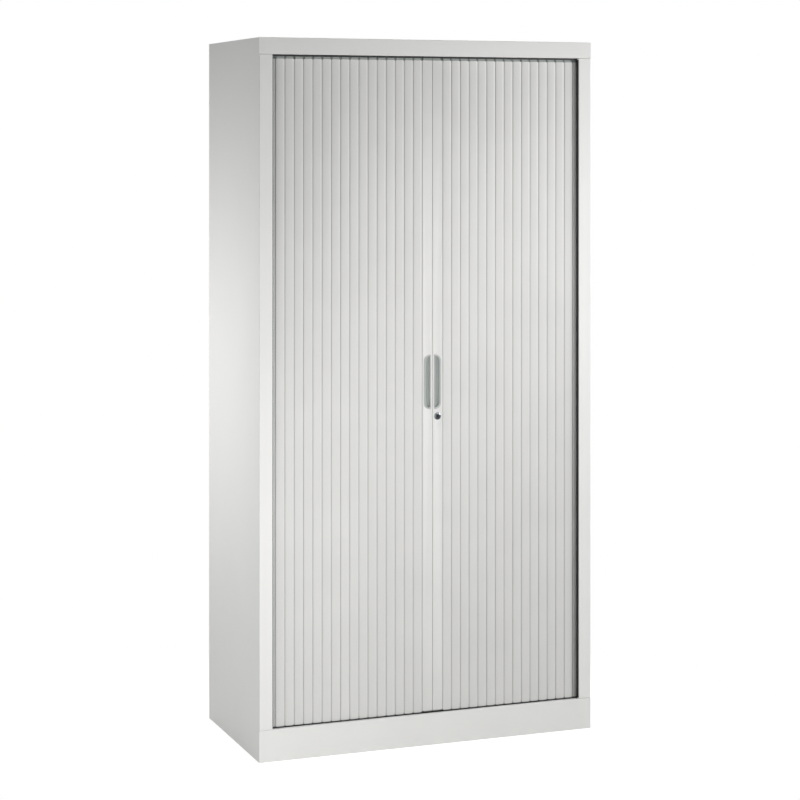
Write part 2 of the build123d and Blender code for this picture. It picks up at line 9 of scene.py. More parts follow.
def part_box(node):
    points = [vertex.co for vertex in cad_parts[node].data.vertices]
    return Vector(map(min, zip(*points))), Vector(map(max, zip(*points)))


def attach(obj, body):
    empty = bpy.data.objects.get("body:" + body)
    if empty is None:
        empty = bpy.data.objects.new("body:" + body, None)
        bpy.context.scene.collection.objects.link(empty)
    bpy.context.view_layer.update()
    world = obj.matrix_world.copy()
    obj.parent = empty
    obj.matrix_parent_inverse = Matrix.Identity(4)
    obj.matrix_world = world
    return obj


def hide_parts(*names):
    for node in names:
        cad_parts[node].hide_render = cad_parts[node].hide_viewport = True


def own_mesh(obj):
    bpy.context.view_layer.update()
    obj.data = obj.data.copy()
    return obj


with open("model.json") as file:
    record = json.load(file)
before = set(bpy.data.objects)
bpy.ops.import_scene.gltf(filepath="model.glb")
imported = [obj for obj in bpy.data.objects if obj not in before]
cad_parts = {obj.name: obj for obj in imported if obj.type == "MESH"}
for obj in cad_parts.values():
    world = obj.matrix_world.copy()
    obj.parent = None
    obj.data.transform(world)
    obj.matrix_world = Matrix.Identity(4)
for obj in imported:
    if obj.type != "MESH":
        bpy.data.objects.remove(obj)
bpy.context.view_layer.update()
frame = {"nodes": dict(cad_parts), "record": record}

# A tall steel cupboard with two tambour leaves. Metres, front towards -Y, origin on the floor.

MM = 0.001

# Sizes of the slats, the leading bars and their path, as the solids have them
SLAT_PITCH = 27 * MM
SLAT_CROWN = 4.5 * MM
SLAT_EDGE = 3.9 * MM
SLAT_SKIN = 3.0 * MM
SLAT_GAP = 1.0 * MM
BAR_WIDTH = 31 * MM
CORNER_RADIUS = 38 * MM
TURNED_SLATS = 2
BEAD_RADIUS = 1.5 * MM
BEAD_NECK = 1.0 * MM
SOCKET_INNER = 1.7 * MM
WEB = 1.4 * MM
WEB_REACH = 3.4 * MM
SHOE_PLATE = 1.5 * MM
END_GLIDE = 4.7 * MM
TRACK_HALF = 7 * MM

# What the scene changes: rounded edges, a round socket, set-back ends, a skin that hangs a little lower
SLAT_EDGE_ROUND = 0.85 * MM
SLAT_CORNER = 3 * MM
SKIN_DROP = 1.2 * MM
SOCKET_OUTER = 2.9 * MM
HINGE_SETBACK = 0.3 * MM
BAR_EDGE_ROUND = 0.4 * MM
BAR_GLIDE_SETBACK = 0.8 * MM

# The lock's plug, and its rim, a shallow dome
PLUG_EDGE_ROUND = 0.3 * MM
LOCK_BORE = 5.76 * MM
LOCK_RIM_EDGE = 0.5 * MM
LOCK_RIM_ROUND = 0.25 * MM

# The finger pulls
PULL_RIM = 1.7 * MM
PULL_RIM_SWEEP = 3.2 * MM
PULL_RIM_HEIGHT = 1.0 * MM
PULL_WALL = 1.0 * MM
PULL_OUTER_ROUND = 18.2 * MM
PULL_INNER_ROUND = 2.5 * MM
PULL_FLOOR_ROUND = 2.5 * MM
PULL_EDGE_ROUND = 0.5 * MM

# Rivets and screws, as profiles of radius and height
FLANGE_WIDTH = 30 * MM
SIDE_RIVETS = 8
ROW_RIVETS = 5
RIVET = [(r * MM, h * MM) for r, h in ((3.2, 0), (3.0, 0.7), (2.1, 1.2), (1.1, 1.25), (0.9, 0.4), (0, 0.4))]
PAN_HEAD = [(r * MM, h * MM) for r, h in ((3.6, 0), (3.6, 1.0), (3.0, 1.8), (1.6, 2.1), (1.4, 1.0), (0, 0.9))]
KEEPER_PLATE = 2 * MM
KEEPER_SCREW_REACH = 17 * MM

# How finely round shapes are drawn, in steps
SLAT_COLUMNS = 8
SLAT_CORNER_STEPS = 4
EDGE_STEPS = 3
SMALL_EDGE_STEPS = 2
PULL_OUTER_STEPS = 10
PULL_INNER_STEPS = 4
PULL_FLOOR_STEPS = 5
SMALL_TURN_STEPS = 12
LOCK_TURN_STEPS = 40
LOCK_DOME_STEPS = 8
PIN_SEARCH_STEPS = 50

# Vertices closer than these are joined: in a piece, in a copied solid and at the pull's inner corners
MERGE = 0.002 * MM
SOLID_MERGE = 0.005 * MM
PULL_MERGE_SLACK = 0.2 * MM

# Angles between two faces: drawn as an edge, rounded on a turned or copied shape, rounded on a pull, flat
DRAWN_EDGE = math.radians(35)
SHARP_EDGE = math.radians(50)
SHARP_PULL_EDGE = math.radians(60)
FLAT_EDGE = math.radians(0.5)

# Most of a noise's values lie in the wider span; the tone of paint and PVC turns over the narrower one
NOISE_SPAN = {"From Min": 0.3, "From Max": 0.7}
TONE_SPAN = {"From Min": 0.35, "From Max": 0.65}

# The studio, in metres; the floor shows its shadow up to SHADOW_REACH and is plain white past WHITE_START
FLOOR_HALF = 9
FLOOR_CELLS = 8
SHADOW_REACH = 0.55
WHITE_START = 1.1
FLOOR_LIFT = 0.6
ROOM_LIGHT = 0.1
WHITE = (1, 1, 1, 1)
LAMP_COLOUR = "#FFFFFE"

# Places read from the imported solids
slats_low, slats_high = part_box("left_slats")
bar_low, bar_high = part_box("left_bar")
track_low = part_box("left_base_track")[0]
PATH_Y = slats_low.y + SLAT_CROWN
MEETING_X = bar_high.x + SLAT_GAP / 2
FLAT_HALF = -track_low.x - TRACK_HALF - CORNER_RADIUS
CORNER_Y = PATH_Y + CORNER_RADIUS
SLAT_BOTTOM = bar_low.z - SHOE_PLATE
SLAT_TOP = bar_high.z + SHOE_PLATE
PIN_BOTTOM = slats_low.z
PIN_TOP = slats_high.z


# Materials

def linear(code):
    """An sRGB hex colour as linear red, green and blue with alpha."""
    channels = [int(code[i:i + 2], 16) / 255 for i in (1, 3, 5)]
    straight = [c / 12.92 if c <= 0.04045 else ((c + 0.055) / 1.055) ** 2.4 for c in channels]
    return (*straight, 1.0)


def add(tree, kind, inputs=None, **settings):
    """Adds a node with its settings; an input is a value or the socket that it is linked to."""
    made = tree.nodes.new(kind)
    for name, value in settings.items():
        setattr(made, name, value)
    for name, value in (inputs or {}).items():
        if isinstance(value, bpy.types.NodeSocket):
            tree.links.new(value, made.inputs[name])
        else:
            made.inputs[name].default_value = value
    return made


def new_material(name):
    """An empty material, its node tree, and the object's own coordinates in metres."""
    made = bpy.data.materials.new(name)
    made.use_nodes = True
    tree = made.node_tree
    tree.nodes.clear()
    place = add(tree, "ShaderNodeTexCoord").outputs["Object"]
    return made, tree, place


def powder_coated_steel(name, low, high, roughness):
    """Polyester powder coat on sheet steel: satin, with a soft orange peel and an even colour."""
    made, tree, place = new_material(name)
    # The real peel has cells of about 1 mm; they are drawn at 3 mm, so that they show from a step away.
    peel = add(tree, "ShaderNodeTexNoise", {
        "Vector": place, "Scale": 1 / (3 * MM), "Detail": 2, "Roughness": 0.5})
    bump = add(tree, "ShaderNodeBump", {
        "Height": peel.outputs["Fac"], "Strength": 0.06, "Distance": 0.4 * MM})
    # The coat's thickness drifts over about 250 mm, and its tone and gloss a little with it.
    cloud = add(tree, "ShaderNodeTexNoise", {
        "Vector": place, "Scale": 1 / (250 * MM), "Detail": 3, "Roughness": 0.5})
    drift = add(tree, "ShaderNodeMapRange", {"Value": cloud.outputs["Fac"], **TONE_SPAN})
    colour = add(tree, "ShaderNodeMix", {
        "Factor": drift.outputs["Result"], "A": linear(low), "B": linear(high)}, data_type="RGBA")
    satin = add(tree, "ShaderNodeMapRange", {
        "Value": cloud.outputs["Fac"], **NOISE_SPAN, "To Min": roughness - 0.03, "To Max": roughness + 0.03})
    shader = add(tree, "ShaderNodeBsdfPrincipled", {
        "Base Color": colour.outputs["Result"],
        "Roughness": satin.outputs["Result"],
        "Normal": bump.outputs["Normal"],
        "IOR": 1.5,
        "Specular IOR Level": 0.3,
    })
    add(tree, "ShaderNodeOutputMaterial", {"Surface": shader.outputs["BSDF"]})
    return made


def extruded_pvc(name, low, high, roughness):
    """Extruded PVC: smooth and satin, with faint die lines that run the length of the profile."""
    made, tree, place = new_material(name)
    # Die lines lie 0.3 mm apart on the real profile; they are drawn 1.5 mm apart, so that they show.
    along = add(tree, "ShaderNodeMapping", {
        "Vector": place, "Scale": (1 / (1.5 * MM), 1 / (1.5 * MM), 1 / (500 * MM))})
    lines = add(tree, "ShaderNodeTexNoise", {"Vector": along.outputs["Vector"], "Scale": 1, "Detail": 2})
    bump = add(tree, "ShaderNodeBump", {
        "Height": lines.outputs["Fac"], "Strength": 0.05, "Distance": 0.2 * MM})
    # The tone drifts over about 167 mm, too little to see as patches.
    cloud = add(tree, "ShaderNodeTexNoise", {"Vector": place, "Scale": 1 / (166.7 * MM), "Detail": 2})
    drift = add(tree, "ShaderNodeMapRange", {"Value": cloud.outputs["Fac"], **TONE_SPAN})
    colour = add(tree, "ShaderNodeMix", {
        "Factor": drift.outputs["Result"], "A": linear(low), "B": linear(high)}, data_type="RGBA")
    satin = add(tree, "ShaderNodeMapRange", {
        "Value": lines.outputs["Fac"], **NOISE_SPAN, "To Min": roughness - 0.03, "To Max": roughness + 0.04})
    shader = add(tree, "ShaderNodeBsdfPrincipled", {
        "Base Color": colour.outputs["Result"],
        "Roughness": satin.outputs["Result"],
        "Normal": bump.outputs["Normal"],
        "IOR": 1.53,
        "Specular IOR Level": 0.35,
    })
    add(tree, "ShaderNodeOutputMaterial", {"Surface": shader.outputs["BSDF"]})
    return made


def moulded_plastic(name, low, high, roughness, grain, depth):
    """Moulded plastic with a spark-eroded grain of this size and depth, which softens its highlights."""
    made, tree, place = new_material(name)
    pits = add(tree, "ShaderNodeTexNoise", {
        "Vector": place, "Scale": 1 / grain, "Detail": 3, "Roughness": 0.6})
    bump = add(tree, "ShaderNodeBump", {"Height": pits.outputs["Fac"], "Strength": 0.25, "Distance": depth})
    shade = add(tree, "ShaderNodeMapRange", {"Value": pits.outputs["Fac"], **NOISE_SPAN})
    colour = add(tree, "ShaderNodeMix", {
        "Factor": shade.outputs["Result"], "A": linear(low), "B": linear(high)}, data_type="RGBA")
    shader = add(tree, "ShaderNodeBsdfPrincipled", {
        "Base Color": colour.outputs["Result"],
        "Roughness": roughness,
        "Normal": bump.outputs["Normal"],
        "IOR": 1.5,
    })
    add(tree, "ShaderNodeOutputMaterial", {"Surface": shader.outputs["BSDF"]})
    return made


def plated_metal(name, low, high, smooth, rough, grain):
    """Plated metal: zinc shows a faint cloudy spangle of this size, nickel almost none."""
    made, tree, place = new_material(name)
    spangle = add(tree, "ShaderNodeTexVoronoi", {"Vector": place, "Scale": 1 / grain})
    colour = add(tree, "ShaderNodeMix", {
        "Factor": spangle.outputs["Distance"], "A": linear(low), "B": linear(high)}, data_type="RGBA")
    # The polish drifts over two and a half flakes of the spangle.
    cloud = add(tree, "ShaderNodeTexNoise", {"Vector": place, "Scale": 1 / (2.5 * grain), "Detail": 3})
    polish = add(tree, "ShaderNodeMapRange", {
        "Value": cloud.outputs["Fac"], **NOISE_SPAN, "To Min": smooth, "To Max": rough})
    shader = add(tree, "ShaderNodeBsdfPrincipled", {
        "Base Color": colour.outputs["Result"],
        "Metallic": 1.0,
        "Roughness": polish.outputs["Result"],
    })
    add(tree, "ShaderNodeOutputMaterial", {"Surface": shader.outputs["BSDF"]})
    return made


def threaded_foot():
    """Levelling foot: a zinc-plated stud that glints along its thread, on a black moulded glide."""
    made, tree, place = new_material("zinc_stud_on_black_glide")
    height = add(tree, "ShaderNodeSeparateXYZ", {"Vector": place}).outputs["Z"]
    # The glide is 9 mm high, and one turn of the thread 1.5 mm.
    above = add(tree, "ShaderNodeMath", {0: height, 1: 9 * MM}, operation="GREATER_THAN").outputs["Value"]
    turns = add(tree, "ShaderNodeMath", {0: height, 1: 2 * math.pi / (1.5 * MM)}, operation="MULTIPLY")
    wave = add(tree, "ShaderNodeMath", {0: turns.outputs["Value"]}, operation="SINE")
    thread = add(tree, "ShaderNodeMath", {0: wave.outputs["Value"], 1: above}, operation="MULTIPLY")
    bump = add(tree, "ShaderNodeBump", {
        "Height": thread.outputs["Value"], "Strength": 0.8, "Distance": 0.4 * MM})
    colour = add(tree, "ShaderNodeMix", {
        "Factor": above, "A": linear("#161718"), "B": linear("#B4B7BA")}, data_type="RGBA")
    polish = add(tree, "ShaderNodeMapRange", {"Value": above, "To Min": 0.55, "To Max": 0.3})
    shader = add(tree, "ShaderNodeBsdfPrincipled", {
        "Base Color": colour.outputs["Result"],
        "Metallic": above,
        "Roughness": polish.outputs["Result"],
        "Normal": bump.outputs["Normal"],
    })
    add(tree, "ShaderNodeOutputMaterial", {"Surface": shader.outputs["BSDF"]})
    return made


finishes = {
    # Outside: light grey and satin, so that broad soft light runs over the panels
    "carcass_paint": powder_coated_steel("powder_coated_steel_light_grey", "#EAE9E8", "#ECEBEA", 0.5),
    # Inside: the same coat, a shade darker and a little glossier
    "inner_paint": powder_coated_steel("powder_coated_steel_inside", "#E2E2E0", "#E5E5E3", 0.45),
    # Slats: a shade darker than the paint, with a soft streak of light down each crown
    "slat_plastic": extruded_pvc("extruded_pvc_slats", "#D8D7D6", "#DBDAD9", 0.42),
    # Hinges: mid grey, duller; the grey is painted shade in the joint that parts one slat from the next
    "hinges": extruded_pvc("pvc_hinges_painted_shade", "#8E9391", "#949997", 0.5),
    # Glides and shoes: even grey, darkened as painted shade under the track lip; the narrow band over the
    # slats
    "glides": moulded_plastic("grey_glides_and_painted_shade", "#949997", "#9A9F9D", 0.5, 0.9 * MM, 0.1 * MM),
    # Leading bars: paler than the slats, so that they stand out in the middle
    "bar_plastic": extruded_pvc("extruded_pvc_bars", "#E0DFDE", "#E3E2E1", 0.42),
    # Rim of a pull: smooth mid grey, a painted shade darker than the cup, with a soft gleam along its curve
    "pull_plastic": moulded_plastic(
        "abs_rim_painted_shade", "#B1B4B2", "#B6B9B7", 0.42, 1.5 * MM, 0.03 * MM),
    # Inside of a pull: grained and matt, and dark only through the cup's own shade
    "pull_pocket": moulded_plastic(
        "moulded_abs_grained_pocket", "#B9BEBC", "#C1C6C4", 0.55, 0.9 * MM, 0.1 * MM),
    # Tracks: black with some sheen; the black also paints the shade in the gaps over and under the leaves
    "track_plastic": moulded_plastic("black_track_and_painted_gap_shade", "#131415", "#191A1B", 0.35, 2 * MM, 0.05 * MM),
    # Edging: black and dull; the black also paints the shade in the gap beside a stile
    "edging_plastic": moulded_plastic("black_edging_and_painted_gap_shade", "#101112", "#161718", 0.5, 1.5 * MM, 0.1 * MM),
    # Stops: black and matt, almost without a highlight
    "stop_rubber": moulded_plastic("black_epdm_rubber", "#17171A", "#1E1E20", 0.75, 0.8 * MM, 0.2 * MM),
    # Small steel parts: bluish grey with cloudy spangle and soft glints
    "zinc_steel": plated_metal("zinc_plated_steel", "#A9ACAF", "#C3C6C8", 0.28, 0.42, 4 * MM),
    # Plug of the lock: nearly black, painted dark reflection of a dark room, with small sharp glints
    "lock_chrome": plated_metal("plated_plug_painted_dark_reflection", "#3A3D3F", "#44474A", 0.12, 0.16, 2 * MM),
    # Rim of the lock: polished, painted dark reflection a tone lighter than the plug's, with one bright glint
    "lock_rim": plated_metal("plated_rim_painted_dark_reflection", "#5A5D5F", "#626567", 0.10, 0.14, 2 * MM),
    "foot_steel": threaded_foot(),
}

# The solids take the finish of their slot, but the bars' shoes have the colour of the glides, with its
# painted shade.
node_finishes = {part["node"]: part["material_slot"] for part in frame["record"]["subparts"]}
node_finishes["left_bar_shoes"] = "glides"
node_finishes["right_bar_shoes"] = "glides"
for node_name, solid in frame["nodes"].items():
    solid.data.materials.clear()
    solid.data.materials.append(finishes[node_finishes[node_name]])


# Making pieces

def as_mesh(bm, name):
    """A mesh from a bmesh, which is freed."""
    mesh = bpy.data.meshes.new(name)
    bm.to_mesh(mesh)
    bm.free()
    return mesh


def in_scene(name, data):
    """An object with this mesh, camera or lamp, in the scene."""
    made = bpy.data.objects.new(name, data)
    bpy.context.scene.collection.objects.link(made)
    return made


def finish_piece(bm, name, slot, body, replaces=(), finish=None):
    """Turns a bmesh into a piece of the object: smooth where it is round, sharp at its edges."""
    bmesh.ops.remove_doubles(bm, verts=bm.verts, dist=MERGE)
    bmesh.ops.recalc_face_normals(bm, faces=bm.faces)
    for face in bm.faces:
        face.smooth = True
    for edge in bm.edges:
        edge.smooth = len(edge.link_faces) == 2 and edge.calc_face_angle(0) < DRAWN_EDGE
    mesh = as_mesh(bm, name)
    mesh.materials.append(finishes[finish or slot])
    piece = in_scene(name, mesh)
    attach(piece, body)
    if replaces:
        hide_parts(*replaces)
    return piece


def merged_copy(node):
    """A copy of a node's solid, its loose triangles joined."""
    bm = bmesh.new()
    bm.from_mesh(frame["nodes"][node].data)
    bmesh.ops.remove_doubles(bm, verts=bm.verts, dist=SOLID_MERGE)
    return bm


def sharp_edges(bm, angle):
    """The edges whose two faces meet at more than an angle."""
    return [e for e in bm.edges if len(e.link_faces) == 2 and e.calc_face_angle(0) > angle]


def extruded_verts(made):
    """The new vertices that an extrusion gives back."""
    return [v for v in made["geom"] if isinstance(v, bmesh.types.BMVert)]


def plate(bm, width, height, columns=1):
    """A flat plate of quads in X and Z, centred on the origin."""
    stand = Matrix.Diagonal((width, 1, height, 1)) @ Matrix.Rotation(math.radians(90), 4, "X")
    made = bmesh.ops.create_grid(bm, x_segments=columns, y_segments=1, size=0.5, matrix=stand)
    return made["verts"]


def thicken(bm, depth_y):
    """Draws all faces back to a plane at this Y, as a closed block."""
    made = bmesh.ops.extrude_face_region(bm, geom=list(bm.faces), use_keep_orig=True)
    for vert in extruded_verts(made):
        vert.co.y = depth_y


def box_between(bm, low, high):
    """A plain block between two corners."""
    size = Vector(high) - Vector(low)
    middle = (Vector(high) + Vector(low)) / 2
    place = Matrix.Translation(middle) @ Matrix.Diagonal((*size, 1))
    bmesh.ops.create_cube(bm, size=1, matrix=place)


def turned(bm, profile, steps, angle=360):
    """Spins a profile of radius and height round the Z axis; gives its vertices."""
    before = set(bm.verts)
    verts = [bm.verts.new((radius, 0, height)) for radius, height in profile]
    edges = [bm.edges.new(pair) for pair in zip(verts, verts[1:])]
    bmesh.ops.spin(
        bm, geom=verts + edges, cent=(0, 0, 0), axis=(0, 0, 1), angle=math.radians(angle), steps=steps,
        use_merge=angle == 360)
    return [v for v in bm.verts if v not in before]


def soft_bevel(bm, edges, radius, steps):
    """Rounds edges off."""
    bmesh.ops.bevel(
        bm, geom=edges, offset=radius, segments=steps, affect="EDGES", profile=0.5, material=-1,
        clamp_overlap=True)


def round_corners(bm, corners, radius, steps):
    """Rounds the corners of a plate within its plane."""
    bmesh.ops.bevel(
        bm, geom=corners, offset=radius, segments=steps, affect="VERTICES", profile=0.5, material=-1)


def softened(node, radius, name, slot, body):
    """A copy of a node's solid with its sharp edges taken off, as an extrusion or a casting has them."""
    bm = merged_copy(node)
    bmesh.ops.dissolve_limit(
        bm, angle_limit=FLAT_EDGE, verts=bm.verts, edges=bm.edges, use_dissolve_boundaries=False)
    soft_bevel(bm, sharp_edges(bm, SHARP_EDGE), radius, SMALL_EDGE_STEPS)
    finish_piece(bm, name, slot, body, [node])


# The path of a leaf, and its hinge pins

def path_point(distance, flat):
    """Plan position at a distance from the meeting line, on a left leaf's path that is flat for so long."""
    turn = CORNER_RADIUS * math.pi / 2
    if distance <= flat:
        return Vector((flat - FLAT_HALF - distance, PATH_Y))
    if distance <= flat + turn:
        angle = (distance - flat) / CORNER_RADIUS
        return Vector((
            -FLAT_HALF - CORNER_RADIUS * math.sin(angle), CORNER_Y - CORNER_RADIUS * math.cos(angle)))
    return Vector((-FLAT_HALF - CORNER_RADIUS, CORNER_Y + distance - flat - turn))


def next_pin(distance, flat):
    """Distance along the path of the next hinge pin, one pitch away in a straight line."""
    here = path_point(distance, flat)
    low, high = distance, distance + 2 * SLAT_PITCH
    for _ in range(PIN_SEARCH_STEPS):
        middle = (low + high) / 2
        short = (path_point(middle, flat) - here).length < SLAT_PITCH
        low, high = (middle, high) if short else (low, middle)
    return high


def flat_slats(flat):
    """How many slats lie on the flat part of a path."""
    return round((flat - BAR_WIDTH) / SLAT_PITCH)


def hinge_pins(flat):
    """Distances along the path of all hinge pins of a leaf."""
    pins = [BAR_WIDTH]
    for _ in range(flat_slats(flat) + TURNED_SLATS):
        pins.append(next_pin(pins[-1], flat))
    return pins


# The slats

def slat_skin(bm):
    """A slat's crowned skin, with soft edges; level with the bar at the top, a little lower at the bottom."""
    width = SLAT_PITCH - SLAT_GAP
    top = bar_high.z
    bottom = SLAT_BOTTOM - SKIN_DROP
    front = plate(bm, width, top - bottom, SLAT_COLUMNS)
    corners = [v for v in front if abs(v.co.x) > width / 2 - 1 * MM]
    round_corners(bm, corners, SLAT_CORNER, SLAT_CORNER_STEPS)
    for vert in bm.verts:
        across = 2 * vert.co.x / width
        vert.co.y = SLAT_EDGE + (SLAT_CROWN - SLAT_EDGE) * (1 - across ** 2)
    rim = [e for e in bm.edges if e.is_boundary]
    thicken(bm, SLAT_SKIN)
    soft_bevel(bm, rim, SLAT_EDGE_ROUND, EDGE_STEPS)
    bmesh.ops.translate(bm, verts=bm.verts, vec=(SLAT_PITCH / 2, 0, (top + bottom) / 2))


def slat_socket(bm, low, high):
    """The socket on one edge of a slat, open towards the neighbour as far as that swings."""
    swing = math.degrees(2 * math.asin(SLAT_PITCH / 2 / CORNER_RADIUS))
    margin = math.degrees(math.asin(BEAD_NECK / SOCKET_INNER))
    corners = [(SOCKET_INNER, low), (SOCKET_OUTER, low), (SOCKET_OUTER, high), (SOCKET_INNER, high)]
    socket = turned(bm, [*corners, corners[0]], SMALL_TURN_STEPS, 360 - swing - 2 * margin)
    open_side = Matrix.Rotation(math.radians(180 + swing + margin), 3, "Z")
    bmesh.ops.rotate(bm, verts=socket, cent=(0, 0, 0), matrix=open_side)
    bmesh.ops.remove_doubles(bm, verts=bm.verts, dist=MERGE)
    bmesh.ops.holes_fill(bm, edges=[e for e in bm.edges if e.is_boundary], sides=4)


def slat_hinges(bm):
    """The socket on one edge of a slat, the bead on the other, and the webs that carry them."""
    low = SLAT_BOTTOM + HINGE_SETBACK
    high = SLAT_TOP - HINGE_SETBACK
    slat_socket(bm, low, high)
    inner = SOCKET_INNER + HINGE_SETBACK
    far = SLAT_PITCH - WEB_REACH
    half = BEAD_NECK / 2
    box_between(bm, (inner, 0, low), (inner + WEB, SLAT_SKIN, high))
    box_between(bm, (far - WEB, -half, low), (far, SLAT_SKIN, high))
    box_between(bm, (far, -half, low), (SLAT_PITCH - BEAD_RADIUS / 2, half, high))
    pin = Matrix.Translation((SLAT_PITCH, 0, (PIN_TOP + PIN_BOTTOM) / 2))
    bmesh.ops.create_cone(
        bm, cap_ends=True, segments=SMALL_TURN_STEPS, radius1=BEAD_RADIUS, radius2=BEAD_RADIUS,
        depth=PIN_TOP - PIN_BOTTOM, matrix=pin)


def slat_glide(bm):
    """The glide on a slat's upper end, which closes the view into the track."""
    low = (SOCKET_INNER, BEAD_NECK / 2, bar_high.z - SHOE_PLATE)
    box_between(bm, low, (SLAT_PITCH - WEB_REACH, SLAT_SKIN - HINGE_SETBACK, SLAT_TOP + END_GLIDE))


# The parts of a slat with their finishes, modelled with the socket's pin at the origin and the front to +Y
SLAT_PARTS = (
    ("skins", slat_skin, "slat_plastic"),
    # The hinges' grey finish is painted shade in the joints between the slats
    ("hinges", slat_hinges, "hinges"),
    ("glides", slat_glide, "glides"),
)


def lay_slats(model, flat, first, last, side):
    """One part of the slats between two pins of a leaf, each laid from its own pin to the next."""
    one = bmesh.new()
    model(one)
    slat = as_mesh(one, "slat")
    pins = hinge_pins(flat)
    bm = bmesh.new()
    for pin, following in list(zip(pins, pins[1:]))[first:last]:
        here = path_point(pin, flat)
        there = path_point(following, flat)
        heading = math.atan2(there.y - here.y, there.x - here.x)
        before = set(bm.verts)
        bm.from_mesh(slat)
        new = [v for v in bm.verts if v not in before]
        place = Matrix.Translation((here.x, here.y, 0)) @ Matrix.Rotation(heading, 4, "Z")
        bmesh.ops.transform(bm, matrix=place, verts=new)
    if side > 0:
        bmesh.ops.scale(bm, vec=(-1, 1, 1), verts=bm.verts)
    return bm


def curtain(name, side):
    """A leaf's slats: the flat run as pieces with meshes of their own, the turned slats as pieces beside
    them.
    """
    flat = FLAT_HALF - side * MEETING_X
    count = flat_slats(flat)
    for part, model, finish in SLAT_PARTS:
        replaced = [f"{name}_slats"] if part == "skins" else []
        flat_run = lay_slats(model, flat, 0, count, side)
        run = finish_piece(flat_run, f"{name}_{part}", "slat_plastic", "root", replaced, finish)
        turned_run = lay_slats(model, flat, count, None, side)
        finish_piece(turned_run, f"{name}_{part}_turn", "slat_plastic", "root", finish=finish)
        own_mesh(run)


def bar_glide(name, side):
    """The glide on a leading bar's upper end, in line with those of the slats."""
    near = MEETING_X + side * BAR_GLIDE_SETBACK
    far = MEETING_X + side * (BAR_WIDTH - SOCKET_OUTER)
    front = PATH_Y - SLAT_SKIN + HINGE_SETBACK
    back = PATH_Y - BEAD_NECK / 2
    bm = bmesh.new()
    box_between(bm, (min(near, far), front, SLAT_TOP), (max(near, far), back, SLAT_TOP + END_GLIDE))
    finish_piece(bm, f"{name}_bar_glide", "track_plastic", f"{name}_leaf", finish="glides")


# The finger pulls

def pull_outline(bm, side, width, height):
    """A pull's D-shaped face, its straight side towards the meeting line, with the rim's outer edge."""
    outline = plate(bm, width, height)
    outer = [v for v in outline if v.co.x * side > 0]
    inner = [v for v in outline if v.co.x * side < 0]
    round_corners(bm, outer, PULL_OUTER_ROUND, PULL_OUTER_STEPS)
    round_corners(bm, inner, PULL_INNER_ROUND, PULL_INNER_STEPS)
    skirt = bmesh.ops.extrude_edge_only(bm, edges=[e for e in bm.edges if e.is_boundary])
    bmesh.ops.translate(bm, verts=extruded_verts(skirt), vec=(0, PULL_RIM_HEIGHT, 0))


def pull_opening(bm, side, width, height):
    """Insets the rim, which widens round the outer curve, and gives the face inside it."""
    face = [f for f in bm.faces if len(f.verts) > 4]
    bmesh.ops.inset_region(bm, faces=face, thickness=PULL_RIM, use_even_offset=True)
    inner_ends = [v for f in face for v in f.verts if v.co.x * side < 0]
    bmesh.ops.remove_doubles(bm, verts=inner_ends, dist=PULL_INNER_ROUND - PULL_RIM + PULL_MERGE_SLACK)
    opening = max(bm.faces, key=lambda f: len(f.verts))
    straight = width / 2 - PULL_RIM
    narrower = Vector((1 - PULL_RIM_SWEEP / (2 * straight), 1, 1 - 2 * PULL_RIM_SWEEP / height))
    at_straight_side = Matrix.Translation((side * straight, 0, 0))
    bmesh.ops.scale(bm, vec=narrower, verts=list(opening.verts), space=at_straight_side)
    return opening


def finger_pull(name, side):
    """A cup behind a D-shaped rim, with a rounded floor."""
    low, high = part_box(f"{name}_finger_pull")
    width = high.x - low.x
    height = high.z - low.z
    bm = bmesh.new()
    pull_outline(bm, side, width, height)
    opening = pull_opening(bm, side, width, height)
    # The cup goes back from the opening, and its floor and front edge are rounded.
    pocket = bmesh.ops.extrude_face_region(bm, geom=[opening])
    floor = extruded_verts(pocket)
    bmesh.ops.delete(bm, geom=[opening], context="FACES")
    bmesh.ops.translate(bm, verts=floor, vec=(0, high.y - low.y - PULL_WALL, 0))
    bmesh.ops.recalc_face_normals(bm, faces=bm.faces)
    sharp = sharp_edges(bm, SHARP_PULL_EDGE)
    at_floor = [e for e in sharp if min(v.co.y for v in e.verts) > PULL_RIM_HEIGHT * 2]
    at_rim = [e for e in sharp if max(v.co.y for v in e.verts) < PULL_RIM_HEIGHT / 2]
    soft_bevel(bm, at_floor, PULL_FLOOR_ROUND, PULL_FLOOR_STEPS)
    soft_bevel(bm, at_rim, PULL_EDGE_ROUND, EDGE_STEPS)
    bmesh.ops.remove_doubles(bm, verts=bm.verts, dist=MERGE)
    bmesh.ops.recalc_face_normals(bm, faces=bm.faces)
    # The wall gets its thickness, and the cup behind the rim its grained finish; the rim keeps the darker
    # tone, painted shade.
    bmesh.ops.solidify(bm, geom=bm.faces, thickness=PULL_WALL)
    for face in bm.faces:
        face.material_index = int(face.calc_center_median().y > PULL_RIM_HEIGHT)
    bmesh.ops.translate(bm, verts=bm.verts, vec=((low.x + high.x) / 2, low.y, (low.z + high.z) / 2))
    cup = finish_piece(bm, f"{name}_cup", "pull_plastic", f"{name}_leaf", [f"{name}_finger_pull"])
    cup.data.materials.append(finishes["pull_pocket"])


# The lock

def lock_barrel():
    """The part of the lock's solid that stands behind the bar's face."""
    barrel = merged_copy("lock_housing")
    everything = [*barrel.verts, *barrel.edges, *barrel.faces]
    bmesh.ops.bisect_plane(
        barrel, geom=everything, plane_co=(0, bar_low.y, 0), plane_no=(0, -1, 0), clear_outer=True)
    return as_mesh(barrel, "lock_barrel")


